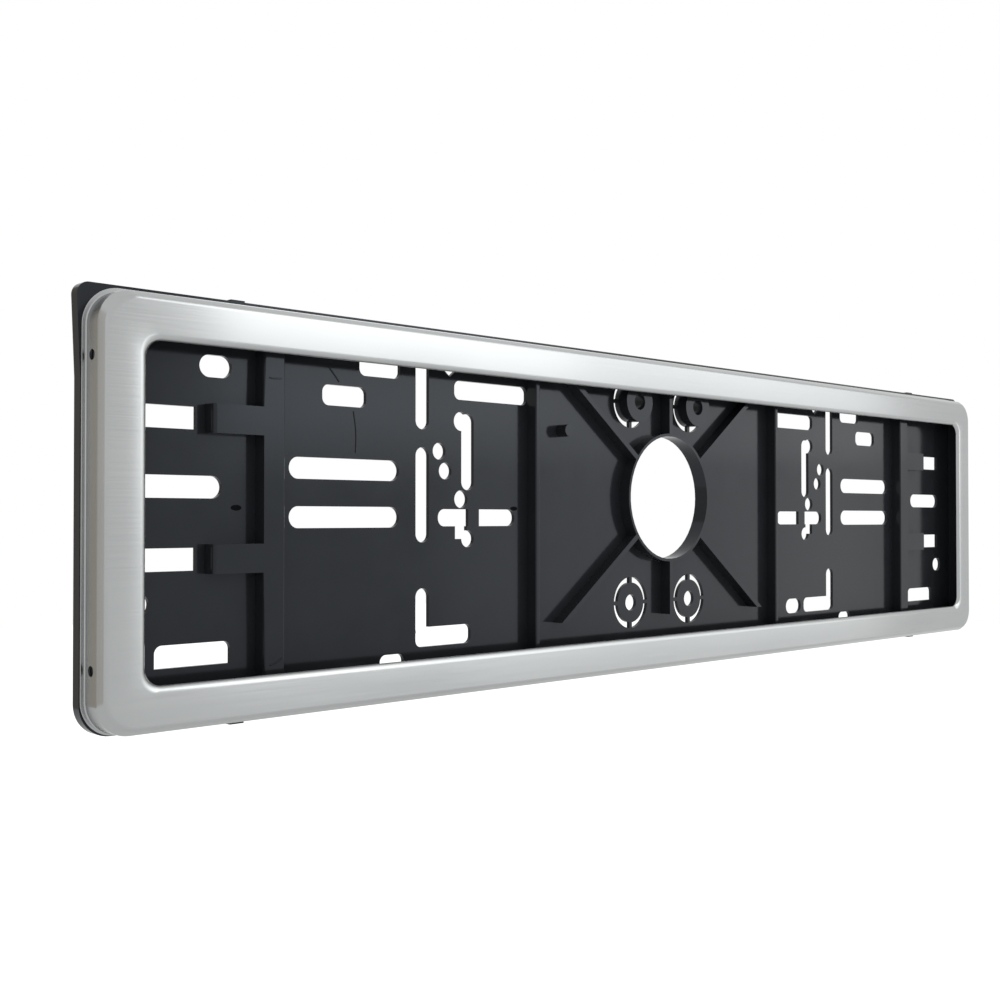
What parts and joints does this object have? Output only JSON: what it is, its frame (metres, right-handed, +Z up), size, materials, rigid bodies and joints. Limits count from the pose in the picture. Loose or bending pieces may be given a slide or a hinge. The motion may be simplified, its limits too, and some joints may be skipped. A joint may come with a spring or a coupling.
{
  "type": "number plate holder",
  "caption": "Long car number plate holder: a slotted, ribbed black moulded tray with a pressed brushed steel frame snapped over its edge.",
  "frame": {"origin": "centre of the four long bolt slots, in the plane of the tray's back", "axes": "+X along the plate, to the right as seen from the front; +Y towards the car, so the front faces -Y; +Z up"},
  "size_m": [0.5498, 0.0137, 0.1366],
  "materials": {
    "brushed_stainless": "brushed along its length",
    "black_moulding": "satin to glossy as moulded"
  },
  "bodies": {
    "root": {"trim_frame": "brushed_stainless", "backplate": "black_moulding"}
  },
  "joints": []
}
